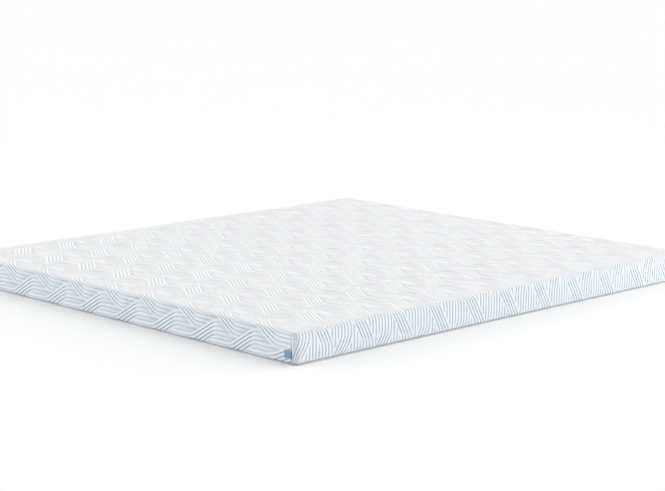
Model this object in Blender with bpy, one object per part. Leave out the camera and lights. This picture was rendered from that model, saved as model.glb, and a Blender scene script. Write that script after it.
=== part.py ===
"""Mattress topper: a filled pad in a ribbed knit cover, on a flat base cloth, with a corner tab."""

import math

import bmesh
import bpy
from mathutils import Vector
from mathutils.bvhtree import BVHTree

# Driving sizes in metres. +X runs along the long side, +Y along the short side, +Z is up.
# The origin is the middle of the underside. The front corner is at -X, -Y.
LENGTH = 2.000
WIDTH = 1.800
THICKNESS = 0.107  # from the underside to the highest rib group
PIECE_GAP = 0.0003

# Base cloth, which closes the cover underneath.
BASE_THICKNESS = 0.003
BASE_INSET = 0.0035
BASE_STEPS = 8  # points on each side and each corner of its outline

# Pad.
EDGE_RADIUS = 0.016  # top edges
CORNER_RADIUS = 0.024  # upright corners
CROWN = 0.0025
GROUP_RISE = 0.0018
FOOT_INSET = 0.0045
FOOT_HEIGHT = 0.0065
FOOT_ROWS = (0.0018, FOOT_HEIGHT)
SIDE_ROW = 0.045
SIDE_BULGE = 0.0025
SIDE_DRAW_IN = 0.0030
SEAM_DEPTH = 0.0020
SEAM_REACH = 0.045
RIM_WAVE = 0.0011
RIM_WAVE_LENGTH = 0.885
RIM_WAVE_START = 2.8
RIM_SHARPNESS = 4  # the higher, the closer to the rim the crown falls away

# Rib groups: bands of slanting ribs that lie over the straight ribs, in staggered rows. Each row
# leans the other way from the next. On the cloth laid flat, a place is its distance across from
# the -X edge and its distance along from the -Y edge.
GROUP_LENGTH = 0.0965
GROUP_WIDTH = 0.0893
FIRST_ROW_ALONG = 0.116
FIRST_GROUP_ACROSS = 0.010
GROUP_SLOPE = 0.011  # width of the slope round a group
GROUP_FADE = 0.012  # a group dies away over this distance beside an upright corner
LINE_SNAP = 0.010  # a line between rows moves onto a line of the rounded edge this near

# Corner tab, sewn into the seam beside the front corner.
TAB_LENGTH = 0.030
TAB_HEIGHT = 0.026
TAB_THICKNESS = 0.0012
TAB_MIDDLE_HEIGHT = 0.032
TAB_SEAM_OVERLAP = 0.003
TAB_FOLD_ROUNDING = 0.45  # share of the thickness
TAB_PROBES = 12  # places each way where the pad's side is felt under the tab

PAD_FOOT = BASE_THICKNESS + PIECE_GAP
EDGE_HEIGHT = THICKNESS - CROWN - GROUP_RISE
HALF_ROLL = EDGE_RADIUS * (1 - math.tan(math.pi / 8))  # from an edge to the line half round it
SAME_PLACE = 1e-5
CLOSE_POINTS = 0.0016

# Each face of the squared pad, with the places that cloth laid flat takes on it:
# origin + across * across_way + along * along_way.
FACES = {
    "top": ((-LENGTH / 2, -WIDTH / 2, EDGE_HEIGHT), (1, 0, 0), (0, 1, 0)),
    "low_x": ((-LENGTH / 2, -WIDTH / 2, EDGE_HEIGHT), (0, 0, 1), (0, 1, 0)),
    "high_x": ((LENGTH / 2, -WIDTH / 2, EDGE_HEIGHT + LENGTH), (0, 0, -1), (0, 1, 0)),
    "low_y": ((-LENGTH / 2, -WIDTH / 2, EDGE_HEIGHT), (1, 0, 0), (0, 0, 1)),
    "high_y": ((-LENGTH / 2, WIDTH / 2, EDGE_HEIGHT + WIDTH), (1, 0, 0), (0, 0, -1)),
}

# Colour and roughness of each piece.
FINISHES = {
    "topper_pad": ((0.86, 0.89, 0.92), 0.90),
    "base_panel": ((0.30, 0.31, 0.32), 0.95),
    "corner_tab": ((0.09, 0.30, 0.50), 0.80),
}


def clamp(value, low=0.0, high=1.0):
    return max(low, min(high, value))


def clear_scene():
    for thing in list(bpy.data.objects):
        bpy.data.objects.remove(thing, do_unlink=True)


def new_collection(name):
    collection = bpy.data.collections.new(name)
    bpy.context.scene.collection.children.link(collection)
    return collection


def make_material(name):
    colour, roughness = FINISHES[name]
    material = bpy.data.materials.new(name)
    material.use_nodes = True
    shader = material.node_tree.nodes["Principled BSDF"]
    shader.inputs["Base Color"].default_value = (*colour, 1.0)
    shader.inputs["Roughness"].default_value = roughness
    shader.inputs["Metallic"].default_value = 0.0
    return material


def add_mesh_object(name, shape, collection):
    mesh = bpy.data.meshes.new(name)
    shape.to_mesh(mesh)
    shape.free()
    mesh.materials.append(make_material(name))
    thing = bpy.data.objects.new(name, mesh)
    collection.objects.link(thing)
    return thing


# Cloth layout


def face_of(normal):
    """The face of the squared pad that looks along a normal."""
    if abs(normal.z) > 0.5:
        return "top"
    if abs(normal.x) > 0.5:
        return "low_x" if normal.x < 0 else "high_x"
    return "low_y" if normal.y < 0 else "high_y"


def face_of_point(point):
    """The face of the squared pad that a point lies on; the top first, then the long way's ends."""
    if point.z > EDGE_HEIGHT - SAME_PLACE:
        return "top"
    if abs(point.x) > LENGTH / 2 - SAME_PLACE:
        return "low_x" if point.x < 0 else "high_x"
    return "low_y" if point.y < 0 else "high_y"


def on_cloth(name, point):
    origin, across_way, along_way = (Vector(part) for part in FACES[name])
    offset = point - origin
    return offset.dot(across_way), offset.dot(along_way)


def in_space(name, across, along):
    origin, across_way, along_way = (Vector(part) for part in FACES[name])
    return origin + across * across_way + along * along_way


def snapped(along, reach):
    """Moves a line across the cloth onto a line of the rounded edges that is near enough."""
    steps = (-EDGE_RADIUS, -HALF_ROLL, 0.0, HALF_ROLL, EDGE_RADIUS, CORNER_RADIUS)
    edge_lines = list(steps) + [WIDTH - step for step in steps]
    nearest = min(edge_lines, key=lambda line: abs(line - along))
    return nearest if abs(nearest - along) < reach else along


def group_rows():
    """Each row's number with the places along the cloth where it starts and ends."""
    start = FIRST_ROW_ALONG - GROUP_LENGTH / 2
    first = math.floor((-THICKNESS - start) / GROUP_LENGTH)
    last = math.ceil((WIDTH + THICKNESS - start) / GROUP_LENGTH)
    lines = [snapped(start + row * GROUP_LENGTH, LINE_SNAP) for row in range(first, last + 2)]
    return list(zip(range(first, last + 1), lines, lines[1:]))


ROWS = group_rows()


def lean_of(row):
    return 1 if row % 2 == 0 else -1


def group_height(across, along):
    """How high the cloth stands at a place, from 0 on the straight ribs to 1 on a group."""
    for row, start, end in ROWS:
        if start <= along <= end:
            break
    share = (along - start) / (end - start) - 0.5
    place = (across - FIRST_GROUP_ACROSS) / GROUP_WIDTH - lean_of(row) * share - row % 2
    from_middle = abs(place - 2 * round(place / 2))
    from_side = (0.5 - from_middle) * GROUP_WIDTH
    from_end = (0.5 - abs(share)) * (end - start)
    return clamp(min(from_side, from_end) / GROUP_SLOPE)


def corner_fade(name, point):
    """1 away from the upright corners, falling to 0 at them."""
    from_x = LENGTH / 2 - CORNER_RADIUS - abs(point.x)
    from_y = WIDTH / 2 - CORNER_RADIUS - abs(point.y)
    if name == "top":
        return clamp(max(from_x, from_y) / GROUP_FADE)
    return clamp((from_y if name.endswith("x") else from_x) / GROUP_FADE)


# Pad


def squared_pad():
    """The pad as a box, open underneath."""
    shape = bmesh.new()
    bmesh.ops.create_cube(shape, size=1.0)
    height = EDGE_HEIGHT - PAD_FOOT
    bmesh.ops.scale(shape, vec=(LENGTH, WIDTH, height), verts=shape.verts)
    bmesh.ops.translate(shape, vec=(0, 0, PAD_FOOT + height / 2), verts=shape.verts)
    underside = [face for face in shape.faces if face.normal.z < -0.5]
    bmesh.ops.delete(shape, geom=underside, context="FACES_ONLY")
    return shape


def with_edges(faces):
    edges = {edge for face in faces for edge in face.edges}
    points = {point for face in faces for point in face.verts}
    return list(points) + list(edges) + list(faces)


def cut(shape, region, point, normal):
    """Draws the line where a plane crosses a region, and gives back the region."""
    result = bmesh.ops.bisect_plane(
        shape, geom=region, dist=SAME_PLACE, plane_co=point, plane_no=normal
    )
    return result["geom"]


def cut_edge_lines(shape):
    """Lines that let the top edges and upright corners be rounded, and rows down the sides."""
    region = with_edges(shape.faces)
    for half, way in ((LENGTH / 2, Vector((1, 0, 0))), (WIDTH / 2, Vector((0, 1, 0)))):
        for inset in (HALF_ROLL, EDGE_RADIUS, CORNER_RADIUS):
            for place in (half - inset, inset - half):
                region = cut(shape, region, place * way, way)
    heights = [EDGE_HEIGHT - HALF_ROLL, EDGE_HEIGHT - EDGE_RADIUS, SIDE_ROW]
    heights += [PAD_FOOT + row for row in FOOT_ROWS]
    for height in heights:
        region = cut(shape, region, (0, 0, height), (0, 0, 1))


def faces_between(shape, name, start, end):
    """Faces on one side of the squared pad, between two places along the cloth."""
    found = []
    for face in shape.faces:
        if face_of(face.normal) == name:
            along = on_cloth(name, face.calc_center_median())[1]
            if start < along < end:
                found.append(face)
    return found


def cut_group_sides(shape, name, row, start, end):
    """Slanting lines down both sides of each group of a row, and down its raised middle."""
    faces = faces_between(shape, name, start, end)
    if not faces:
        return
    corners = [on_cloth(name, point.co)[0] for face in faces for point in face.verts]
    first = math.floor((min(corners) - FIRST_GROUP_ACROSS) / GROUP_WIDTH) - 1
    last = math.ceil((max(corners) - FIRST_GROUP_ACROSS) / GROUP_WIDTH) + 1
    outward = Vector(FACES[name][1]).cross(Vector(FACES[name][2]))
    lean = lean_of(row) * GROUP_WIDTH / 2
    side = GROUP_WIDTH / 2
    region = with_edges(faces)
    for group in range(first, last + 1):
        if (group - row) % 2:
            continue
        middle = FIRST_GROUP_ACROSS + group * GROUP_WIDTH
        for offset in (-side, GROUP_SLOPE - side, side - GROUP_SLOPE, side):
            low = in_space(name, middle + offset - lean, start)
            high = in_space(name, middle + offset + lean, end)
            region = cut(shape, region, low, (high - low).cross(outward))


def cut_groups(shape):
    for name in FACES:
        along_way = FACES[name][2]
        region = with_edges(faces_between(shape, name, -LENGTH, LENGTH + WIDTH))
        for _, start, end in ROWS:
            for line in (start, start + GROUP_SLOPE, end - GROUP_SLOPE):
                near = in_space(name, 0, snapped(line, GROUP_SLOPE / 2))
                region = cut(shape, region, near, along_way)
        for row, start, end in ROWS:
            cut_group_sides(shape, name, row, start, end)


def rounded(point):
    """The place of a squared point on the rounded pad, and the way the surface looks there."""
    core = Vector((
        clamp(point.x, CORNER_RADIUS - LENGTH / 2, LENGTH / 2 - CORNER_RADIUS),
        clamp(point.y, CORNER_RADIUS - WIDTH / 2, WIDTH / 2 - CORNER_RADIUS),
    ))
    offset = point.xy - core
    reach = max(abs(offset.x), abs(offset.y))
    level = offset.normalized()
    roll_start = CORNER_RADIUS - EDGE_RADIUS
    depth = EDGE_HEIGHT - point.z
    if depth > SAME_PLACE:
        turn = math.pi / 2 - math.atan2(max(0, EDGE_RADIUS - depth), EDGE_RADIUS)
    else:
        turn = math.atan2(max(0, reach - roll_start), EDGE_RADIUS)
    outward = Vector((*(level * math.sin(turn)), math.cos(turn)))
    place = core + level * (min(reach, roll_start) + EDGE_RADIUS * math.sin(turn))
    rolled = EDGE_HEIGHT - EDGE_RADIUS * (1 - math.cos(turn))
    return Vector((*place, min(rolled, point.z))), outward


def side_push(name, point):
    """How far a side stands out at a point: bulged, drawn in, tucked at the foot and the seams."""
    height = point.z - PAD_FOOT
    push = SIDE_BULGE * (math.sin(math.pi * height / (EDGE_HEIGHT - PAD_FOOT)) - 1)
    from_foot = clamp(height / FOOT_HEIGHT)
    push -= FOOT_INSET * (1 - math.sqrt(1 - (1 - from_foot) ** 2))
    if name.endswith("x"):
        push -= SIDE_DRAW_IN * (1 - (2 * point.y / WIDTH) ** 2)
        from_seam = abs(WIDTH / 2 - CORNER_RADIUS - abs(point.y))
        push -= SEAM_DEPTH * (1 + math.cos(math.pi * clamp(from_seam / SEAM_REACH))) / 2
    else:
        push -= SIDE_DRAW_IN * (1 - (2 * point.x / LENGTH) ** 2)
    return push


def top_lift(point):
    """The crown, and the slight waves of the top along its rim."""
    near_x = abs(2 * point.x / LENGTH) ** RIM_SHARPNESS
    near_y = abs(2 * point.y / WIDTH) ** RIM_SHARPNESS
    turn = 2 * math.pi / RIM_WAVE_LENGTH
    wave = near_x * math.sin(turn * point.y + RIM_WAVE_START)
    wave += near_y * math.sin(turn * point.x)
    return CROWN * (1 - near_x) * (1 - near_y) + RIM_WAVE * wave


def shape_point(squared):
    name = face_of_point(squared)
    across, along = on_cloth(name, squared)
    point, outward = rounded(squared)
    level = Vector((outward.x, outward.y, 0))
    above_foot = clamp((squared.z - PAD_FOOT - FOOT_HEIGHT) / FOOT_HEIGHT)
    rise = GROUP_RISE * group_height(across, along) * corner_fade(name, squared) * above_foot
    point += outward * rise
    if level.length > SAME_PLACE:
        point += level * side_push(face_of(level.normalized()), point)
    point.z += outward.z * top_lift(point)
    return point


def settle_size(shape):
    """Stretches the shape by a hair so that it is exactly as long, wide and thick as it should be."""
    sizes = ((0, -LENGTH / 2, LENGTH / 2), (1, -WIDTH / 2, WIDTH / 2), (2, PAD_FOOT, THICKNESS))
    for axis, low, high in sizes:
        places = [point.co[axis] for point in shape.verts]
        lowest = min(places)
        stretch = (high - low) / (max(places) - lowest)
        for point in shape.verts:
            point.co[axis] = low + (point.co[axis] - lowest) * stretch


def build_pad(collection):
    shape = squared_pad()
    cut_edge_lines(shape)
    cut_groups(shape)
    bmesh.ops.remove_doubles(shape, verts=shape.verts, dist=CLOSE_POINTS)
    for point in shape.verts:
        point.co = shape_point(point.co)
    settle_size(shape)
    rim = [edge for edge in shape.edges if edge.is_boundary]
    bmesh.ops.holes_fill(shape, edges=rim, sides=len(rim))
    bmesh.ops.recalc_face_normals(shape, faces=shape.faces)
    bmesh.ops.triangulate(shape, faces=shape.faces)
    pad = add_mesh_object("topper_pad", shape, collection)
    pad.data.shade_smooth()
    pad.data.set_sharp_from_angle(angle=math.radians(30))
    return pad


# Base cloth


def add_outline_point(spline, index, place, handle_in, handle_out):
    knot = spline.bezier_points[index]
    knot.handle_left_type = "FREE"
    knot.handle_right_type = "FREE"
    knot.co = (*place, 0)
    knot.handle_left = (*handle_in, 0)
    knot.handle_right = (*handle_out, 0)


def build_base(collection):
    """A flat cloth with round corners, its sides drawn in as the pad's are."""
    curve = bpy.data.curves.new("base_panel", "CURVE")
    curve.dimensions = "2D"
    curve.fill_mode = "BOTH"
    curve.extrude = BASE_THICKNESS / 2
    curve.resolution_u = BASE_STEPS
    spline = curve.splines.new("BEZIER")
    spline.bezier_points.add(7)
    spline.use_cyclic_u = True
    half_x = LENGTH / 2 - BASE_INSET
    half_y = WIDTH / 2 - BASE_INSET
    radius = CORNER_RADIUS - BASE_INSET / 2
    arc = radius * 4 / 3 * math.tan(math.pi / 8)
    dip = SIDE_DRAW_IN * 4 / 3
    for quarter, (turn_x, turn_y) in enumerate(((1, 1), (-1, 1), (-1, -1), (1, -1))):
        on_x = (turn_x * half_x, turn_y * (half_y - radius))
        on_y = (turn_x * (half_x - radius), turn_y * half_y)
        third_x = (turn_x * (half_x - dip), turn_y * (half_y - radius) / 3)
        third_y = (turn_x * (half_x - radius) / 3, turn_y * (half_y - dip))
        round_x = (on_x[0], on_x[1] + turn_y * arc)
        round_y = (on_y[0] + turn_x * arc, on_y[1])
        knots = [(on_x, third_x, round_x), (on_y, round_y, third_y)]
        if turn_x != turn_y:
            knots = [(on_y, third_y, round_y), (on_x, round_x, third_x)]
        for step, knot in enumerate(knots):
            add_outline_point(spline, 2 * quarter + step, *knot)
    base = bpy.data.objects.new("base_panel", curve)
    base.location.z = BASE_THICKNESS / 2
    curve.materials.append(make_material("base_panel"))
    collection.objects.link(base)
    return base


# Corner tab


def outermost_side(pad, low, high):
    """The least x that the pad's -X side has between two corners of a patch in Y and Z."""
    tree = BVHTree.FromObject(pad, bpy.context.evaluated_depsgraph_get())
    found = []
    for column in range(TAB_PROBES + 1):
        for row in range(TAB_PROBES + 1):
            y = low[0] + (high[0] - low[0]) * column / TAB_PROBES
            z = low[1] + (high[1] - low[1]) * row / TAB_PROBES
            hit = tree.ray_cast(Vector((-LENGTH, y, z)), Vector((1, 0, 0)))[0]
            found.append(hit.x)
    return min(found)


def build_tab(pad, collection):
    """A small folded tab, flat against the pad, with its round fold away from the seam."""
    start_y = CORNER_RADIUS - WIDTH / 2 - TAB_SEAM_OVERLAP
    low_z = TAB_MIDDLE_HEIGHT - TAB_HEIGHT / 2
    side = outermost_side(pad, (start_y, low_z), (start_y + TAB_LENGTH, low_z + TAB_HEIGHT))
    shape = bmesh.new()
    bmesh.ops.create_cube(shape, size=1.0)
    bmesh.ops.scale(shape, vec=(TAB_THICKNESS, TAB_LENGTH, TAB_HEIGHT), verts=shape.verts)
    fold = [
        edge for edge in shape.edges
        if all(point.co.y > 0 for point in edge.verts) and edge.verts[0].co.x == edge.verts[1].co.x
    ]
    bmesh.ops.bevel(
        shape, geom=fold, offset=TAB_THICKNESS * TAB_FOLD_ROUNDING, offset_type="OFFSET", segments=3,
        profile=0.5, affect="EDGES",
    )
    tab = add_mesh_object("corner_tab", shape, collection)
    tab.location = (
        side - PIECE_GAP - TAB_THICKNESS / 2,
        start_y + TAB_LENGTH / 2,
        TAB_MIDDLE_HEIGHT,
    )
    return tab


def main():
    clear_scene()
    topper = new_collection("mattress_topper")
    pad = build_pad(topper)
    build_base(topper)
    bpy.context.view_layer.update()
    build_tab(pad, topper)


main()
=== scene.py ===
import math

import bmesh
import bpy
from mathutils import Matrix, Vector


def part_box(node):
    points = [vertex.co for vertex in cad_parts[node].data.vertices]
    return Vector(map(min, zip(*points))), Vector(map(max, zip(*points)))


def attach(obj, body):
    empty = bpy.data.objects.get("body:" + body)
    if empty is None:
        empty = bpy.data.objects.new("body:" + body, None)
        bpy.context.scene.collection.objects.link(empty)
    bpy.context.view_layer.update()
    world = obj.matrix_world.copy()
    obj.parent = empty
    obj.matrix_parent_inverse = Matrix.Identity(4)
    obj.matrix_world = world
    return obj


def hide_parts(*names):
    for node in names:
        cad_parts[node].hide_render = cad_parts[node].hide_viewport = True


# Looks for the mattress topper: a padded cover with its ribs, the base cloth and the corner tab.
# Metres, +Z up. The front corner, with the tab, is at -X, -Y.

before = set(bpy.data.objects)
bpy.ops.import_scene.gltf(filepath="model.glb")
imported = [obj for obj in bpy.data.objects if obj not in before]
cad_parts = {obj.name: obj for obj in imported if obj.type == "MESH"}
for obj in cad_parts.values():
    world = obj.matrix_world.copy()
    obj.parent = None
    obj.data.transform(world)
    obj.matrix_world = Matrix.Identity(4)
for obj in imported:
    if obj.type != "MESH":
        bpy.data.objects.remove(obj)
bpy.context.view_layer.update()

# The rounded pad that the cloth lies on, with the sizes that its solid has.
pad = {
    "length": 2.000,
    "width": 1.800,
    "foot": 0.0033,
    "edgeHeight": 0.1027,
    "edgeRadius": 0.016,
    "cornerRadius": 0.024,
    "crown": 0.0025,
    "footInset": 0.0045,
    "footHeight": 0.0065,
    "sideBulge": 0.0025,
    "drawIn": 0.0030,
    "seamDepth": 0.0020,
    "seamReach": 0.045,
    "rimWave": 0.0011,
    "rimWaveLength": 0.885,
    "rimWaveStart": 2.8,
    "rimSharpness": 4,
    "settle": 0.0013,  # the straight ribs of the sides stand this far inside the full size
}
halfLength = pad["length"] / 2
halfWidth = pad["width"] / 2
sideDepth = pad["edgeHeight"] - pad["foot"]
tiny = 1e-5


def clamp(value, low=0.0, high=1.0):
    return max(low, min(high, value))


def smooth(value):
    value = clamp(value)
    return value * value * (3 - 2 * value)


def onBox(across, along):
    # A place on the cloth laid flat, carried onto the pad as a box. Across is from the -X edge and
    # along is from the -Y edge; both go on past the edges, down the sides.
    depth = max(-along, along - pad["width"])
    if depth > 0:  # near and far sides, which wrap round the upright corners to the seams
        y = -halfWidth if along < 0 else halfWidth
        level = pad["edgeHeight"] - depth
        past = max(-across, across - pad["length"])
        if past > 0:
            x = -halfLength if across < 0 else halfLength
            return Vector((x, y - math.copysign(past, y), level))
        return Vector((across - halfLength, y, level))
    depth = max(-across, across - pad["length"])
    if depth > 0:
        x = -halfLength if across < 0 else halfLength
        return Vector((x, along - halfWidth, pad["edgeHeight"] - depth))
    return Vector((across - halfLength, along - halfWidth, pad["edgeHeight"]))


def sidePush(level, point):
    height = clamp(point.z - pad["foot"], 0, sideDepth)
    push = pad["sideBulge"] * (math.sin(math.pi * height / sideDepth) - 1) - pad["settle"]
    tuck = 1 - clamp(height / pad["footHeight"])
    push -= pad["footInset"] * (1 - math.sqrt(1 - tuck ** 2))
    if abs(level.x) > abs(level.y):
        push -= pad["drawIn"] * (1 - clamp(abs(point.y) / halfWidth) ** 2)
        fromSeam = abs(halfWidth - pad["cornerRadius"] - abs(point.y))
        near = clamp(fromSeam / pad["seamReach"])
        push -= pad["seamDepth"] * (1 + math.cos(math.pi * near)) / 2
    else:
        push -= pad["drawIn"] * (1 - clamp(abs(point.x) / halfLength) ** 2)
    return push


def topLift(point):
    nearX = clamp(abs(point.x) / halfLength) ** pad["rimSharpness"]
    nearY = clamp(abs(point.y) / halfWidth) ** pad["rimSharpness"]
    turn = 2 * math.pi / pad["rimWaveLength"]
    wave = nearX * math.sin(turn * point.y + pad["rimWaveStart"])
    wave += nearY * math.sin(turn * point.x)
    return pad["crown"] * (1 - nearX) * (1 - nearY) + pad["rimWave"] * wave


def onPad(boxed, height):
    # The place on the rounded pad of a point of the box, standing this far out of its surface.
    radius = pad["edgeRadius"]
    corner = pad["cornerRadius"]
    core = Vector((
        clamp(boxed.x, corner - halfLength, halfLength - corner),
        clamp(boxed.y, corner - halfWidth, halfWidth - corner),
    ))
    offset = boxed.xy - core
    reach = max(abs(offset.x), abs(offset.y))
    level = offset.normalized()
    rollStart = corner - radius
    depth = pad["edgeHeight"] - boxed.z
    if depth > tiny:
        turn = math.pi / 2 - math.atan2(max(0, radius - depth), radius)
    else:
        turn = math.atan2(max(0, reach - rollStart), radius)
    outward = Vector((*(level * math.sin(turn)), math.cos(turn)))
    place = core + level * (min(reach, rollStart) + radius * math.sin(turn))
    rolled = pad["edgeHeight"] - radius * (1 - math.cos(turn))
    point = Vector((*place, min(rolled, boxed.z)))
    if turn > 0:
        point += Vector((outward.x, outward.y, 0)) * sidePush(level, point)
    point.z += outward.z * topLift(point)
    return point + outward * height


def allOf(shape):
    return shape.verts[:] + shape.edges[:] + shape.faces[:]


def cutAt(shape, place, way):
    bmesh.ops.bisect_plane(shape, geom=allOf(shape), dist=tiny, plane_co=place, plane_no=way)


def newPiece(name, shape, material):
    mesh = bpy.data.meshes.new(name)
    shape.to_mesh(mesh)
    shape.free()
    mesh.materials.append(material)
    mesh.shade_smooth()
    piece = bpy.data.objects.new(name, mesh)
    bpy.context.scene.collection.objects.link(piece)
    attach(piece, "root")
    return piece


# Finishes

finish = {
    "litRaised": (0.905, 0.935, 0.955),  # raised ribs, down the sides: painted lighter than the straight ribs, as painted light on the raised groups
    "plain": (0.875, 0.905, 0.94),  # straight ribs
    "flank": (0.75, 0.825, 0.89),  # down the sides of a rib: the ground yarn that shows there, darkened with painted shade
    "groove": (0.67, 0.76, 0.84),  # ground cloth between the straight ribs
    "deepGrooveShade": (0.45, 0.57, 0.66),  # between the ribs of a slanting group: the ground yarn, painted darker as the shade in these deep grooves
    "litRaisedTop": (0.945, 0.948, 0.955),  # the same on the top, lighter and less blue: the sides' copies are painted shade, for the same yarn
    "topPlain": (0.915, 0.917, 0.93),
    "topFlank": (0.84, 0.85, 0.87),
    "topGroove": (0.70, 0.725, 0.755),
    "topFrom": 0.093,  # the colours change over this height, from here up
    "topOver": 0.009,
    "base": (0.52, 0.53, 0.54),
    "tab": (0.20, 0.37, 0.50),
    "tabEdge": (0.48, 0.64, 0.73),
    "floor": (0.94, 0.94, 0.94),
    "sheenSpread": 0.6,
    "gloss": 0.25,
}
black, full = (0, 0, 0), (1, 1, 1)


def newMaterial(name, roughness, sheen):
    material = bpy.data.materials.new(name)
    material.use_nodes = True
    nodes = material.node_tree.nodes
    shader = nodes["Principled BSDF"]
    shader.inputs["Roughness"].default_value = roughness
    shader.inputs["Sheen Weight"].default_value = sheen
    shader.inputs["Sheen Roughness"].default_value = finish["sheenSpread"]
    shader.inputs["Specular IOR Level"].default_value = finish["gloss"]
    return material, nodes, material.node_tree.links, shader


def mathNode(nodes, links, kind, first, second=None, limited=False):
    node = nodes.new("ShaderNodeMath")
    node.operation = kind
    node.use_clamp = limited
    for socket, value in zip(node.inputs, (first, second)):
        if value is None:
            continue
        if isinstance(value, (int, float)):
            socket.default_value = value
        else:
            links.new(value, socket)
    return node.outputs[0]


def colourRange(nodes, links, share, low, high, start=0.0, finishAt=1.0):
    node = nodes.new("ShaderNodeValToRGB")
    node.color_ramp.elements[0].position = start
    node.color_ramp.elements[0].color = (*low, 1)
    node.color_ramp.elements[1].position = finishAt
    node.color_ramp.elements[1].color = (*high, 1)
    links.new(share, node.inputs[0])
    return node.outputs[0]


def noiseNode(nodes, links, place, scale, detail=2.0):
    node = nodes.new("ShaderNodeTexNoise")
    node.inputs["Scale"].default_value = scale
    node.inputs["Detail"].default_value = detail
    links.new(place, node.inputs["Vector"])
    return node.outputs["Fac"]


def splitPlace(nodes, links, place):
    split = nodes.new("ShaderNodeSeparateXYZ")
    links.new(place, split.inputs[0])
    return split.outputs


knit = {
    "rowShare": 0.8,  # height of a stitch, as a share of its width
    "lean": 2.2,  # how steep the two legs of a stitch stand
    "legHeight": 0.5,
    "columnHeight": 0.6,
}


def knitHeight(nodes, links, place, stitch):
    # Rows of small V-shaped stitches: the columns run along the second coordinate.
    split = splitPlace(nodes, links, place)
    column = mathNode(nodes, links, "MULTIPLY", split[0], 2 * math.pi / stitch)
    bend = mathNode(nodes, links, "ABSOLUTE", mathNode(nodes, links, "SINE", column))
    row = mathNode(nodes, links, "MULTIPLY", split[1], 2 * math.pi / (stitch * knit["rowShare"]))
    leaning = mathNode(nodes, links, "MULTIPLY", bend, knit["lean"])
    legs = mathNode(nodes, links, "SINE", mathNode(nodes, links, "ADD", row, leaning))
    legs = mathNode(nodes, links, "MULTIPLY", legs, knit["legHeight"])
    columns = mathNode(nodes, links, "MULTIPLY", bend, knit["columnHeight"])
    return mathNode(nodes, links, "ADD", legs, columns)


def addBump(nodes, links, shader, height, distance, strength=1.0):
    node = nodes.new("ShaderNodeBump")
    node.inputs["Strength"].default_value = strength
    node.inputs["Distance"].default_value = distance
    links.new(height, node.inputs["Height"])
    links.new(node.outputs[0], shader.inputs["Normal"])


def attributeNode(nodes, name, output="Vector"):
    node = nodes.new("ShaderNodeAttribute")
    node.attribute_name = name
    return node.outputs[output]


def mixColour(nodes, links, share, first, second):
    node = nodes.new("ShaderNodeMix")
    node.data_type = "RGBA"
    links.new(share, node.inputs["Factor"])
    links.new(first, node.inputs[6])
    links.new(second, node.inputs[7])
    return node.outputs[2]


def objectPlace(nodes):
    return nodes.new("ShaderNodeTexCoord").outputs["Object"]


def shadedSidesLitTop(nodes, links, sideColour, topColour):
    # One colour on the sides that changes over the rolled edge to another on the top. The sides'
    # copy is painted shade: bluer and mostly darker than the top's, for the same yarn.
    height = splitPlace(nodes, links, objectPlace(nodes))[2]
    above = mathNode(nodes, links, "SUBTRACT", height, finish["topFrom"])
    share = mathNode(nodes, links, "DIVIDE", above, finish["topOver"], limited=True)
    return colourRange(nodes, links, share, sideColour, topColour)


def shaded(colour, share):
    return tuple(part * share for part in colour)


ribKnit = {
    "roughness": 0.88,
    "sheen": 0.12,
    "patchScale": 55.0,  # the border between crest and flank is uneven in patches of this scale
    "uneven": 0.12,
    "flankFrom": 0.70,  # share of the way down a rib where its flank starts
    "flankTo": 1.0,
    "raisedFrom": 0.2,
    "raisedTo": 0.8,
    "stitch": 0.0016,
    "stitchDepth": 0.00018,
    "stitchStrength": 0.7,
}


def ribFinish():
    # White on the crest, painted lighter on the raised groups as painted light, and pale blue down
    # the flanks, where the ground yarn shows, darkened with painted shade.
    values = ribKnit
    material, nodes, links, shader = newMaterial("rib knit", values["roughness"], values["sheen"])
    place = attributeNode(nodes, "clothPlace")
    fromCrest = splitPlace(nodes, links, place)[2]
    uneven = noiseNode(nodes, links, objectPlace(nodes), values["patchScale"])
    uneven = mathNode(nodes, links, "MULTIPLY", uneven, values["uneven"])
    edge = mathNode(nodes, links, "ADD", fromCrest, uneven)
    down = colourRange(nodes, links, edge, black, full, values["flankFrom"], values["flankTo"])
    # Painted light: the crests of the raised groups are lighter than the straight ribs.
    raised = attributeNode(nodes, "raised", "Fac")
    raised = colourRange(nodes, links, raised, black, full, values["raisedFrom"], values["raisedTo"])
    plain = shadedSidesLitTop(nodes, links, finish["plain"], finish["topPlain"])
    litRaised = shadedSidesLitTop(nodes, links, finish["litRaised"], finish["litRaisedTop"])
    crest = mixColour(nodes, links, raised, plain, litRaised)
    flank = shadedSidesLitTop(nodes, links, finish["flank"], finish["topFlank"])
    links.new(mixColour(nodes, links, down, crest, flank), shader.inputs["Base Color"])
    height = knitHeight(nodes, links, place, values["stitch"])
    addBump(nodes, links, shader, height, values["stitchDepth"], values["stitchStrength"])
    return material


groundKnit = {
    "roughness": 0.92,
    "sheen": 0.06,
    "coverMottle": 30.0,
    "groupMottle": 40.0,
    "mottleDetail": 4.0,
    "mottleContrast": 2.5,
    "mottleCut": 0.75,
    "sideDeep": 0.88,  # the darker patches have this share of the colour, on the sides, darker there than on the top as painted shade
    "topDeep": 0.93,  # and on the top
    "grainScale": 900.0,
    "grainDepth": 0.0002,
    "grainStrength": 0.6,
}


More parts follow.
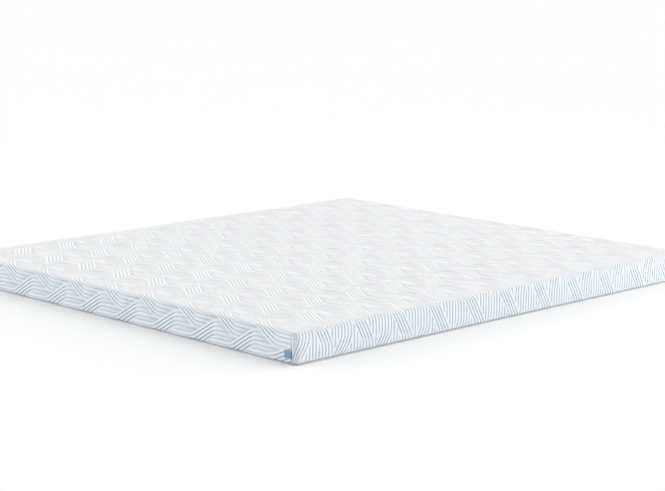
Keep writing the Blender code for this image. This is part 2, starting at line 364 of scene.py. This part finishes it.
def groundFinish(name, sideColour, mottle):
    # The ground cloth in the grooves, mottled in two shades of the same yarn.
    values = groundKnit
    material, nodes, links, shader = newMaterial(name, values["roughness"], values["sheen"])
    place = objectPlace(nodes)
    patches = noiseNode(nodes, links, place, mottle, values["mottleDetail"])
    patches = mathNode(nodes, links, "MULTIPLY", patches, values["mottleContrast"])
    patches = mathNode(nodes, links, "SUBTRACT", patches, values["mottleCut"], limited=True)
    light = shadedSidesLitTop(nodes, links, sideColour, finish["topGroove"])
    sideDeep = shaded(sideColour, values["sideDeep"])
    deep = shadedSidesLitTop(nodes, links, sideDeep, shaded(finish["topGroove"], values["topDeep"]))
    links.new(mixColour(nodes, links, patches, deep, light), shader.inputs["Base Color"])
    grain = noiseNode(nodes, links, place, values["grainScale"])
    addBump(nodes, links, shader, grain, values["grainDepth"], values["grainStrength"])
    return material


baseKnit = {
    "roughness": 0.95,
    "sheen": 0.05,
    "fleckScale": 420.0,
    "fleckDetail": 3.0,
    "fleckShade": 1.35,  # the light flecks, against the cloth's own colour
    "fleckFrom": 0.35,
    "fleckTo": 0.7,
    "stitch": 0.0022,
    "stitchDepth": 0.0002,
    "stitchStrength": 0.8,
}


def baseFinish():
    values = baseKnit
    material, nodes, links, shader = newMaterial("base knit", values["roughness"], values["sheen"])
    place = objectPlace(nodes)
    fleck = noiseNode(nodes, links, place, values["fleckScale"], values["fleckDetail"])
    light = shaded(finish["base"], values["fleckShade"])
    start, finishAt = values["fleckFrom"], values["fleckTo"]
    colour = colourRange(nodes, links, fleck, finish["base"], light, start, finishAt)
    links.new(colour, shader.inputs["Base Color"])
    height = knitHeight(nodes, links, place, values["stitch"])
    addBump(nodes, links, shader, height, values["stitchDepth"], values["stitchStrength"])
    return material


wovenTape = {
    "roughness": 0.7,
    "sheen": 0.15,
    "edgeFrom": 0.72,  # share of the way from the tape's middle to its edge
    "edgeTo": 0.86,
    "warp": 9000.0,
    "weft": 90.0,
    "weaveDepth": 0.0001,
    "weaveStrength": 0.8,
}


def tabFinish():
    # Plain woven tape: a fine weave with a lighter woven edge above and below.
    values = wovenTape
    material, nodes, links, shader = newMaterial("woven tape", values["roughness"], values["sheen"])
    split = splitPlace(nodes, links, attributeNode(nodes, "clothPlace"))
    edge = mathNode(nodes, links, "ABSOLUTE", split[1])
    start, finishAt = values["edgeFrom"], values["edgeTo"]
    colour = colourRange(nodes, links, edge, finish["tab"], finish["tabEdge"], start, finishAt)
    links.new(colour, shader.inputs["Base Color"])
    warp = mathNode(nodes, links, "MULTIPLY", split[0], values["warp"])
    weft = mathNode(nodes, links, "MULTIPLY", split[1], values["weft"])
    warp, weft = (mathNode(nodes, links, "SINE", turn) for turn in (warp, weft))
    weave = mathNode(nodes, links, "MULTIPLY", warp, weft)
    addBump(nodes, links, shader, weave, values["weaveDepth"], values["weaveStrength"])
    return material


# Cover: the padded cloth under the ribs, which shows in the grooves

edgeTurns = (0, 11.25, 22.5, 33.75, 45)  # steps round half of a rolled edge, in degrees
rollSteps = [pad["edgeRadius"] * math.tan(math.radians(turn)) for turn in edgeTurns]

cover = {
    "topSteps": 20,
    "sideSteps": (0.030, 0.045, 0.060, 0.075, 0.088),
    "footSteps": (0.0065, 0.0042, 0.0018),
    "seamSteps": (0.0015, 0.004, 0.010, 0.018, 0.030, 0.045),
    "rollClear": 0.004,  # one more cut of the top stands this far in from its rolled edge
    "edgeZone": 0.03,  # the finer cuts of the top and the seams' creases keep to this strip
    "seamCrease": 0.0022,
    "creaseReach": 0.005,
    "creaseStart": 0.010,  # a crease grows to its full depth over this height
    "fill": 0.95,
}


def rollLines():
    # Distances in from an edge where the top is cut for its rolled edge.
    radius = pad["edgeRadius"]
    inward = [radius - step for step in rollSteps]
    inward += [cover["rollClear"] + radius, pad["cornerRadius"]]
    return sorted(set(round(step, 6) for step in inward))


def seamLines():
    seam = pad["cornerRadius"]
    lines = [seam]
    for step in cover["seamSteps"]:
        lines.append(seam + step)
        if step < seam:
            lines.append(seam - step)
    return lines


def seamCrease(point):
    # How far the cloth turns in along an upright seam.
    if abs(point.x) < halfLength - cover["edgeZone"]:
        return 0.0
    fromSeam = abs(halfWidth - pad["cornerRadius"] - abs(point.y))
    below = smooth((pad["edgeHeight"] - point.z) / cover["creaseStart"])
    return cover["seamCrease"] * below * (1 - smooth(fromSeam / cover["creaseReach"]))


def isUpright(face):
    return abs(face.normal.z) < 0.7


def keepUnderside(shape):
    # Points of the underside that lie outside the drawn-in foot move in to it.
    limit = pad["footInset"] + pad["sideBulge"] + pad["drawIn"] + pad["settle"] + ribs["height"]
    for point in shape.verts:
        if point.co.z > pad["foot"] + tiny or any(isUpright(face) for face in point.link_faces):
            continue
        point.co.x *= (halfLength - limit) / halfLength
        point.co.y *= (halfWidth - limit) / halfWidth


def buildCover():
    shape = bmesh.new()
    bmesh.ops.create_cube(shape, size=1.0)
    bmesh.ops.scale(shape, vec=(pad["length"], pad["width"], sideDepth), verts=shape.verts)
    middle = pad["foot"] + sideDepth / 2
    bmesh.ops.translate(shape, vec=(0, 0, middle), verts=shape.verts)
    for half, way in ((halfLength, Vector((1, 0, 0))), (halfWidth, Vector((0, 1, 0)))):
        lines = [half - step for step in rollLines() if step > 0]
        lines += [half * 2 * step / cover["topSteps"] - half for step in range(1, cover["topSteps"])]
        for line in lines:
            cutAt(shape, way * line, way)
            if line > half - cover["edgeZone"]:
                cutAt(shape, way * -line, way)
    for line in seamLines():
        for side in (1, -1):
            cutAt(shape, (0, side * (halfWidth - line), 0), (0, 1, 0))
    heights = [pad["edgeHeight"] - step for step in rollSteps[1:]]
    heights += [pad["edgeHeight"] - step for step in cover["sideSteps"]]
    heights += [pad["foot"] + step for step in cover["footSteps"]]
    for height in heights:
        cutAt(shape, (0, 0, height), (0, 0, 1))
    for point in shape.verts:
        past = max(abs(point.co.x) - halfLength, abs(point.co.y) - halfWidth)
        if past < -tiny and point.co.z < pad["foot"] + tiny:
            continue  # the flat underside
        share = depthShare(point.co.x + halfLength, point.co.y + halfWidth)
        point.co = onPad(point.co, -ribs["height"] * share - seamCrease(point.co))
    keepUnderside(shape)
    bmesh.ops.recalc_face_normals(shape, faces=shape.faces)
    ground = groundFinish("ground knit", finish["groove"], groundKnit["coverMottle"])
    piece = newPiece("cover", shape, ground)
    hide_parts("topper_pad")
    print("cover:", len(piece.data.polygons), "faces")


# Ribs: bars of knit that lie along the cloth, and step sideways in slanting groups

ribs = {
    "rowLength": 0.0973,  # rows of groups, along the cloth
    "firstRow": 0.1325,
    "repeat": 0.1785,  # from one group to the next across a row
    "ribsInRepeat": 13,
    "firstGroup": 0.0039,
    "otherRows": 7,  # the groups of every other row stand this many ribs across
    "skew": 0.105,  # the rows run this much askew
    "bow": 0.030,  # and bend back by this much
    "sway": 0.040,  # from here to there the ribs of the top run this much askew
    "swayStart": 0.45,
    "swayEnd": 0.95,
    "swayReach": 0.35,
    "nearPull": 0.020,  # the cloth is pulled this far down over the near edge,
    "nearSlack": 0.015,  # which leaves it this far in on the top beside it
    "pullStart": 0.03,  # the pull is full down to here on the near side
    "pullReach": 0.16,
    "slackReach": 0.32,
    "count": 5,  # ribs in a group
    "slantLength": 0.110,
    "bend": 0.018,
    "endShares": (0.33, 0.66),  # a short end has its two bends at these shares of its length
    "width": 0.0104,
    "height": 0.0022,  # from the ground cloth to the pad's own face
    "lowCrest": -0.0001,  # crest of the straight ribs
    "rise": 0.0006,  # crest of the slanting ribs
    "fullness": 0.6,  # the lower, the fuller the shoulders of a rib
    "domed": 0.5,  # the outer ribs of a group stand this much less high
    "riseStart": 0.006,  # ribs and beds start to rise this far before their group
    "riseOver": 0.024,
    "tailStart": 0.010,  # shortest end of a rib past its group
    "tailStep": 0.001,
    "tailRows": 2.4,  # longest end, in rows
    "tuck": 0.006,  # a rib's end runs this far under the next group
    "sunk": 0.0004,
    "steps": 10,
    "shoulder": 0.78,
    "stitchStretch": 1.15,  # stitches lie this much closer along a rib
    "flankShare": (0.8, 0.2),  # how far down a rib its sides take the flank's painted shade, and more where raised, as the grooves are deeper there
    "bedRise": 0.0003,
    "bedInset": 0.0016,
    "bedEdge": 0.97,
    "bedSunk": 0.0001,
    "footPinch": 0.012,
    "footFlat": (0.35, 0.65),  # height left at the foot, and gained over the pinch
    "seamPinch": 0.004,
    "seamFlat": (0.55, 0.45),
    "seamWrap": 0.02,  # the near and far sides reach this far towards a corner's seam
    "seamGap": 0.0011,
    "topFlatter": 0.4,  # the ribs lie this much flatter on the top than down the sides
    "flatterOver": 0.024,
    "innerRows": 2.6,  # a ribbon this many rows, and this far, from the edges isn't cut
    "innerClear": 0.085,
    "spareRows": (4, 3),  # rows tried before the first and past the last
    "spareRepeats": 2,
    "spareReach": 2.8,  # in rows: ribbons further out than this don't reach the cloth
}
ribPitch = ribs["repeat"] / ribs["ribsInRepeat"]
ribShift = ribs["count"] * ribPitch  # a group carries its ribs this far across
flatUnder = 0.1  # points of a unit rib lower than this are its flat underside


def ribShape(shape):
    # One unit of rib: a half-round bar with a flat underside, cut into steps.
    steps = ribs["steps"]
    bmesh.ops.create_cone(shape, cap_ends=True, segments=8, radius1=1.0, radius2=1.0, depth=steps)
    turn = Matrix.Rotation(math.pi / 2, 3, "X")
    bmesh.ops.rotate(shape, cent=(0, 0, 0), matrix=turn, verts=shape.verts)
    bmesh.ops.translate(shape, vec=(0, steps / 2, 0), verts=shape.verts)
    bmesh.ops.bisect_plane(
        shape, geom=allOf(shape), dist=0.001, plane_co=(0, 0, 0), plane_no=(0, 0, 1),
        clear_inner=True,
    )
    bmesh.ops.holes_fill(shape, edges=[edge for edge in shape.edges if edge.is_boundary], sides=0)
    for step in range(1, steps):
        cutAt(shape, (0, step, 0), (0, 1, 0))
    return allOf(shape)


def leanOf(row):
    return 1 if row % 2 == 0 else -1


def rowStart(row):
    return ribs["firstRow"] + (row - 0.5) * ribs["rowLength"]


def groupMiddle(row):
    return ribs["firstGroup"] + (0 if row % 2 == 0 else ribs["otherRows"] * ribPitch)


def slantEnds(start):
    spare = (ribs["slantLength"] - ribs["rowLength"]) / 2
    return start - spare, start + ribs["rowLength"] + spare


def slantedBy(along, start, lean):
    # How far a ribbon has moved across, from half its shift one way to half the other.
    slope = ribShift / ribs["slantLength"]
    bend = ribs["bend"]
    shift = -ribShift / 2
    for place, way in zip(slantEnds(start), (1, -1)):
        past = along - place
        if past > bend:
            shift += way * slope * past
        elif past > -bend:
            shift += way * slope * (past + bend) ** 2 / (4 * bend)
    return lean * shift


def liftOf(along, start):
    # 0 on the straight ribs and 1 on a group.
    fromEnds = min(along - start, start + ribs["rowLength"] - along)
    return smooth((fromEnds + ribs["riseStart"]) / ribs["riseOver"])


def isUnderGroup(across, along):
    row = math.floor((along - ribs["firstRow"]) / ribs["rowLength"] + 0.5)
    middle = groupMiddle(row) + slantedBy(along, rowStart(row), leanOf(row))
    past = (across - middle) / ribs["repeat"]
    return abs(past - round(past)) * ribs["repeat"] < ribs["count"] * ribPitch / 2


def tailLength(row, offset, way):
    # How far a rib runs on straight past its group, until the next group covers it.
    across = groupMiddle(row) + leanOf(row) * way * ribShift / 2 + offset
    ends = slantEnds(rowStart(row))
    edge = ends[1] if way > 0 else ends[0]
    length = ribs["tailStart"]
    longest = ribs["tailRows"] * ribs["rowLength"]
    while length < longest and not isUnderGroup(across, edge + way * length):
        length += ribs["tailStep"]
    return length + ribs["tuck"]


def ribPlaces(start, tails):
    # Where a rib's steps lie along the cloth: straight, bend, slanting, bend and straight.
    low, high = slantEnds(start)
    bend = ribs["bend"]
    before, after = tails
    inner, outer = ribs["endShares"]
    return (
        low - before,
        low - min(bend, before * outer),
        low - min(bend / 3, before * inner),
        low + bend / 3,
        low + bend,
        (low + high) / 2,
        high - bend,
        high - bend / 3,
        high + min(bend / 3, after * inner),
        high + min(bend, after * outer),
        high + after,
    )


def ribSides():
    return (-1, -ribs["shoulder"], 0, ribs["shoulder"], 1)


def ribOffset(number):
    return (number - (ribs["count"] - 1) / 2) * ribPitch


def tailTable():
    # The tails of each rib of a group, at each point of its section, for both kinds of row.
    table = {}
    for row in (0, 1):
        for number in range(ribs["count"]):
            for side in ribSides():
                offset = ribOffset(number) + side * ribs["width"] / 2
                ends = [tailLength(row, offset, way) for way in (-1, 1)]
                table[leanOf(row), number, side] = ends
    return table


def pointsOf(made):
    return [part for part in made if isinstance(part, bmesh.types.BMVert)]


def askew(across):
    # How far the knit's rows lie off a straight line across the cloth.
    return across * (ribs["bow"] * across - ribs["skew"])


def moveTo(point, across, along, level):
    # Sets a point of the straight pattern down where the real cloth has it.
    along += askew(across)
    sway = clamp(along, ribs["swayStart"], ribs["swayEnd"]) - ribs["swayStart"]
    across += ribs["sway"] * sway * smooth(across / ribs["swayReach"])
    past = along + ribs["pullStart"]
    along -= ribs["nearPull"]
    along += (ribs["nearPull"] + ribs["nearSlack"]) * smooth(past / ribs["pullReach"])
    along -= ribs["nearSlack"] * smooth((past - ribs["pullReach"]) / ribs["slackReach"])
    point.co = (across, along, level)


def layRib(shape, unit, attributes, row, middle, number, tails):
    placeLayer, raisedLayer = attributes
    flank, raisedFlank = ribs["flankShare"]
    half = ribs["width"] / 2
    start, lean = rowStart(row), leanOf(row)
    for point in pointsOf(bmesh.ops.duplicate(shape, geom=unit)["geom"]):
        side, step, high = point.co
        side = min(ribSides(), key=lambda place: abs(place - side))
        along = ribPlaces(start, tails[lean, number, side])[round(step)]
        offset = ribOffset(number) + side * half
        lift = liftOf(along, start) * (1 - ribs["domed"] * (offset / ribShift * 2) ** 2)
        crest = ribs["lowCrest"] + (ribs["rise"] - ribs["lowCrest"]) * lift
        level = crest - (1 - high) * (crest + ribs["height"]) * ribs["fullness"]
        if high < flatUnder:
            level = -ribs["height"] - ribs["sunk"]
        moveTo(point, middle + slantedBy(along, start, lean) + offset, along, level)
        # Painted shade: the flank colour reaches further up the ribs of a raised group.
        down = abs(side) * (flank + raisedFlank * lift)
        point[placeLayer] = (offset, along * ribs["stitchStretch"], down)
        point[raisedLayer] = lift


def layBed(shape, unit, row, middle):
    # The padding that lifts a slanting group; it shows only in the grooves.
    half = ribs["count"] * ribPitch / 2 - ribs["bedInset"]
    start, lean, spare = rowStart(row), leanOf(row), ribs["riseStart"]
    for point in pointsOf(bmesh.ops.duplicate(shape, geom=unit)["geom"]):
        side, step, high = point.co
        if 0.1 < abs(side) < 0.9:
            side = math.copysign(ribs["bedEdge"], side)  # a shoulder of the unit rib
        along = start - spare + (ribs["rowLength"] + 2 * spare) * step / ribs["steps"]
        level = ribs["bedRise"] * liftOf(along, start) - ribs["height"] - ribs["bedSunk"]
        if high < flatUnder:
            level = -ribs["height"] - ribs["sunk"]
        moveTo(point, middle + slantedBy(along, start, lean) + side * half, along, level)


def isOnCloth(across, along):
    # The cloth's cut: the top, and its four sides between the seams.
    pastX = max(-across, across - pad["length"])
    pastY = max(-along, along - pad["width"])
    gap = ribs["seamGap"]
    if pastY > 0:
        return pastY < sideDepth and pastX < pad["cornerRadius"] - gap
    if pastX > 0:
        seam = pad["cornerRadius"] + gap
        return pastX < sideDepth and seam < along < pad["width"] - seam
    return True


def trimToCloth(shape):
    gap = ribs["seamGap"]
    corner = pad["cornerRadius"]
    downs = [-step for step in rollSteps[1:]] + [-step for step in cover["sideSteps"]]
    downs += [step - sideDepth for step in cover["footSteps"]] + [-sideDepth]
    ups = [pad["edgeRadius"] - step for step in rollSteps]
    for size, way in ((pad["length"], Vector((1, 0, 0))), (pad["width"], Vector((0, 1, 0)))):
        lines = downs + [step for step in ups if step > 0] + [0.0]
        if way.x:
            lines += [gap - corner]
        else:
            lines += [corner + gap] + [corner + step for step in cover["seamSteps"]]
        for line in lines:
            cutAt(shape, way * line, way)
            cutAt(shape, way * (size - line), way)
    outside = []
    for face in shape.faces:
        middle = face.calc_center_median()
        if not isOnCloth(middle.x, middle.y):
            outside.append(face)
    bmesh.ops.delete(shape, geom=outside, context="FACES")
    rim = [edge for edge in shape.edges if edge.is_boundary]
    bmesh.ops.holes_fill(shape, edges=rim, sides=0)


def depthShare(across, along):
    # How much of the ribs' full depth they have here.
    inward = min(across, pad["length"] - across, along, pad["width"] - along)
    return 1 - ribs["topFlatter"] * smooth(inward / ribs["flatterOver"])


def pinch(across, along):
    # Ribs flatten where the cloth is drawn into the seam round its foot and the upright seams.
    pastX = max(-across, across - pad["length"])
    pastY = max(-along, along - pad["width"])
    past = max(pastX, pastY)
    share = 1.0
    if past > 0:
        flat, gain = ribs["footFlat"]
        share = flat + gain * smooth((sideDepth - past) / ribs["footPinch"])
    fromSeam = None
    if pastY > 0 and pastX > -ribs["seamWrap"]:
        fromSeam = pad["cornerRadius"] - pastX
    elif pastX > 0 >= pastY:
        fromSeam = min(along, pad["width"] - along) - pad["cornerRadius"]
    if fromSeam is not None:
        flat, gain = ribs["seamFlat"]
        share *= flat + gain * smooth(fromSeam / ribs["seamPinch"])
    return share


def foldOntoPad(shape):
    ground = -ribs["height"]
    for point in shape.verts:
        across, along, level = point.co
        if level > ground:
            level = ground + (level - ground) * pinch(across, along)
        point.co = onPad(onBox(across, along), level * depthShare(across, along))


def startCloth():
    shape = bmesh.new()
    layers = shape.verts.layers
    attributes = layers.float_vector.new("clothPlace"), layers.float.new("raised")
    return shape, ribShape(shape), attributes


def isInner(row, middle):
    # Ribbons that lie wholly on the top, clear of the rolled edges, aren't cut.
    reach, clear = ribs["innerRows"] * ribs["rowLength"], ribs["innerClear"]
    start = rowStart(row) + askew(middle)
    return (
        start - reach > clear
        and start + reach + ribs["rowLength"] < pad["width"] - clear
        and middle - ribShift > clear
        and middle + ribShift < pad["length"] - clear
    )


def ribbons(lean):
    # Each ribbon of this lean that reaches the cloth: its row and where its middle is across.
    repeat, length = ribs["repeat"], ribs["rowLength"]
    spare = sideDepth + ribs["spareReach"] * length
    before, after = ribs["spareRows"]
    rows = math.ceil((pad["width"] - askew(pad["length"])) / length)
    repeats = math.ceil(pad["length"] / repeat)
    for row in range(-before, rows + after):
        if leanOf(row) != lean:
            continue
        for number in range(-ribs["spareRepeats"], repeats + ribs["spareRepeats"]):
            middle = groupMiddle(row) + number * repeat
            along = rowStart(row) + length / 2 + askew(middle)
            if -spare < along < pad["width"] + spare:
                yield row, middle


def joined(shape, border):
    # Adds the trimmed ribs of the border to the others.
    mesh = bpy.data.meshes.new("trimmed")
    border.to_mesh(mesh)
    border.free()
    shape.from_mesh(mesh)
    bpy.data.meshes.remove(mesh)


def clothPiece(name, inner, border, material):
    # The unit ribs go, and the border is trimmed before all of it is folded onto the pad.
    for shape, unit, _ in (inner, border):
        bmesh.ops.delete(shape, geom=pointsOf(unit))
    trimToCloth(border[0])
    shape = inner[0]
    joined(shape, border[0])
    foldOntoPad(shape)
    bmesh.ops.recalc_face_normals(shape, faces=shape.faces)
    piece = newPiece(name, shape, material)
    print(name + ":", len(piece.data.polygons), "faces")


def buildRibs(name, lean, material, tails):
    inner, border = startCloth(), startCloth()
    for row, middle in ribbons(lean):
        cloth = inner if isInner(row, middle) else border
        for number in range(ribs["count"]):
            layRib(*cloth, row, middle, number, tails)
    clothPiece(name, inner, border, material)


def buildBeds():
    inner, border = startCloth(), startCloth()
    for lean in (1, -1):
        for row, middle in ribbons(lean):
            shape, unit, _ = inner if isInner(row, middle) else border
            layBed(shape, unit, row, middle)
    # Painted shade: the beds take the ground yarn painted darker, for the deep grooves of the
    # groups.
    ground = groundFinish("group ground knit", finish["deepGrooveShade"], groundKnit["groupMottle"])
    clothPiece("group_beds", inner, border, ground)


ribMaterial = ribFinish()
ribTails = tailTable()
buildCover()
buildRibs("ribs_leaning_right", 1, ribMaterial, ribTails)
buildRibs("ribs_leaning_left", -1, ribMaterial, ribTails)
buildBeds()

# Base cloth

base = {
    "inset": 0.0035,
    "edge": 0.0007,
    "cornerSteps": 8,
    "steps": 24,
    "bowFade": 8,  # the higher, the closer to the edge the drawn-in outline fades
    "flat": (1.79, 1.99),
}


def isLevel(edge):
    return abs(edge.verts[0].co.z - edge.verts[1].co.z) < tiny


def buildBase():
    low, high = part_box("base_panel")
    size = high - low
    shape = bmesh.new()
    bmesh.ops.create_cube(shape, size=1.0)
    bmesh.ops.scale(shape, vec=size, verts=shape.verts)
    bmesh.ops.translate(shape, vec=(low + high) / 2, verts=shape.verts)
    corners = [edge for edge in shape.edges if not isLevel(edge)]
    bmesh.ops.bevel(
        shape, geom=corners, offset=pad["cornerRadius"] - base["inset"] / 2, offset_type="OFFSET",
        segments=base["cornerSteps"], profile=0.5, affect="EDGES", material=-1,
    )
    rims = [
        edge for edge in shape.edges
        if isLevel(edge) and any(isUpright(face) for face in edge.link_faces)
    ]
    bmesh.ops.bevel(
        shape, geom=rims, offset=base["edge"], offset_type="OFFSET", segments=2, profile=0.5,
        affect="EDGES", material=-1,
    )
    for half, way in ((halfLength, Vector((1, 0, 0))), (halfWidth, Vector((0, 1, 0)))):
        for step in range(1, base["steps"]):
            cutAt(shape, way * half * (2 * step / base["steps"] - 1), way)
    for point in shape.verts:  # the outline draws in along the sides, as the pad's does
        x, y = point.co.x, point.co.y
        bowX = pad["drawIn"] * (1 - (y / halfWidth) ** 2) * abs(x / halfLength) ** base["bowFade"]
        bowY = pad["drawIn"] * (1 - (x / halfLength) ** 2) * abs(y / halfWidth) ** base["bowFade"]
        point.co.x -= math.copysign(bowX, x)
        point.co.y -= math.copysign(bowY, y)
    bmesh.ops.recalc_face_normals(shape, faces=shape.faces)
    piece = newPiece("base_cloth", shape, baseFinish())
    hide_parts("base_panel")
    print("base cloth:", len(piece.data.polygons), "faces")


# Corner tab

tab = {
    "cloth": 0.00042,
    "foldSteps": 8,
    "lengthSteps": 8,
    "merge": 1e-6,
    "flat": (0.026, 0.060),
}


def edgesOf(made):
    return [part for part in made if isinstance(part, bmesh.types.BMEdge)]


def buildTab():
    # A strip is drawn out along the seam, folded round and drawn back.
    low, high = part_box("corner_tab")
    spread = (high.x - low.x - tab["cloth"]) / 2
    foldStart = high.y - spread - tab["cloth"] / 2
    shape = bmesh.new()
    layer = shape.verts.layers.float_vector.new("clothPlace")
    start = Vector((high.x - tab["cloth"] / 2, low.y, 0))
    bottom = shape.verts.new(start + Vector((0, 0, low.z)))
    top = shape.verts.new(start + Vector((0, 0, high.z)))
    edges = [shape.edges.new((bottom, top))]
    step = Vector((0, (foldStart - low.y) / tab["lengthSteps"], 0))
    for turnBack in (1, -1):
        for number in range(tab["lengthSteps"]):
            made = bmesh.ops.extrude_edge_only(shape, edges=edges)["geom"]
            points = pointsOf(made)
            bmesh.ops.translate(shape, vec=step * turnBack, verts=points)
            edges = [edge for edge in edgesOf(made) if all(point in points for point in edge.verts)]
        if turnBack == 1:
            axisPlace = edges[0].verts[0].co - Vector((spread, 0, 0))
            spun = bmesh.ops.spin(
                shape, geom=edges + list(edges[0].verts), cent=axisPlace, axis=(0, 0, 1),
                angle=math.pi, steps=tab["foldSteps"], use_merge=False,
            )
            edges = edgesOf(spun["geom_last"])
    bmesh.ops.remove_doubles(shape, verts=shape.verts, dist=tab["merge"])
    bmesh.ops.recalc_face_normals(shape, faces=shape.faces)
    bmesh.ops.solidify(shape, geom=shape.faces[:], thickness=tab["cloth"] / 2)
    middle = (low.z + high.z) / 2
    for point in shape.verts:
        point[layer] = (point.co.y, (point.co.z - middle) / (high.z - low.z) * 2, 0)
    bmesh.ops.recalc_face_normals(shape, faces=shape.faces)
    piece = newPiece("folded_tab", shape, tabFinish())
    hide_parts("corner_tab")
    print("tab:", len(piece.data.polygons), "faces")


buildBase()
buildTab()

# Stage, light and camera

stage = {
    "floorSize": 120.0,
    "floorDrop": 0.0003,
    "floorRoughness": 0.9,
    "sky": 0.475,
    "skyColour": (0.97, 0.99, 1.0),
    # Each distant soft light: its strength, colour, spread in degrees and where it stands.
    "lights": {
        "key": (2.35, (1.0, 0.99, 0.98), 95.0, (0.80, -0.30, 0.534)),
        "back": (1.45, (1.0, 0.99, 0.985), 62.0, (-0.45, 0.85, 0.42)),
    },
    # Each low panel: its power, size, place and the point that it faces.
    "panels": {
        "right": (56.0, (2.8, 0.6), (3.4, -2.4, 0.34), (0.2, -0.9, 0.0)),
        "left": (7.0, (3.2, 0.5), (-3.4, 0.9, 0.30), (-1.0, 0.1, 0.05)),
    },
}


def addLamp(name, data, way, place=(0, 0, 0)):
    lamp = bpy.data.objects.new(name, data)
    lamp.rotation_euler = Vector(way).to_track_quat("Z", "Y").to_euler()
    lamp.location = place
    lamp.visible_camera = False
    bpy.context.scene.collection.objects.link(lamp)


def buildStage():
    shape = bmesh.new()
    bmesh.ops.create_grid(shape, x_segments=2, y_segments=2, size=stage["floorSize"] / 2)
    bmesh.ops.translate(shape, vec=(0, 0, -stage["floorDrop"]), verts=shape.verts)
    mesh = bpy.data.meshes.new("floor")
    shape.to_mesh(mesh)
    shape.free()
    material, _, _, shader = newMaterial("floor paper", stage["floorRoughness"], 0.0)
    shader.inputs["Base Color"].default_value = (*finish["floor"], 1)
    shader.inputs["Specular IOR Level"].default_value = 0.0
    mesh.materials.append(material)
    floor = bpy.data.objects.new("floor", mesh)
    bpy.context.scene.collection.objects.link(floor)
    world = bpy.data.worlds.new("studio")
    world.use_nodes = True
    sky = world.node_tree.nodes["Background"]
    sky.inputs["Color"].default_value = (*stage["skyColour"], 1)
    sky.inputs["Strength"].default_value = stage["sky"]
    bpy.context.scene.world = world
    for name, (strength, colour, spread, place) in stage["lights"].items():
        light = bpy.data.lights.new(name, "SUN")
        light.energy = strength
        light.color = colour
        light.angle = math.radians(spread)
        addLamp(name, light, place)
    for name, (power, size, place, aim) in stage["panels"].items():
        panel = bpy.data.lights.new(name, "AREA")
        panel.energy = power
        panel.shape = "RECTANGLE"
        panel.size, panel.size_y = size
        addLamp(name, panel, Vector(place) - Vector(aim), place)
    bpy.context.scene.view_settings.view_transform = "Standard"
    print("stage and light")


view = {
    "place": (-4.750, -4.882, 1.357),
    "yaw": 44.42,
    "pitch": 10.23,
    "roll": 0.26,
    "sensor": 36.0,
    "lens": 101.63,
    "farthest": 200.0,
}


def buildCamera():
    yaw, pitch, roll = (math.radians(view[name]) for name in ("yaw", "pitch", "roll"))
    forward = Vector((
        math.sin(yaw) * math.cos(pitch),
        math.cos(yaw) * math.cos(pitch),
        -math.sin(pitch),
    ))
    level = Vector((math.cos(yaw), -math.sin(yaw), 0))
    up = level.cross(forward)
    right = level * math.cos(roll) + up * math.sin(roll)
    up = up * math.cos(roll) - level * math.sin(roll)
    turned = Matrix((right, up, -forward)).transposed().to_4x4()
    data = bpy.data.cameras.new("camera")
    data.sensor_width = view["sensor"]
    data.lens = view["lens"]
    data.clip_end = view["farthest"]
    camera = bpy.data.objects.new("camera", data)
    camera.matrix_world = Matrix.Translation(view["place"]) @ turned
    bpy.context.scene.collection.objects.link(camera)
    bpy.context.scene.camera = camera
    print("camera")


buildStage()
buildCamera()
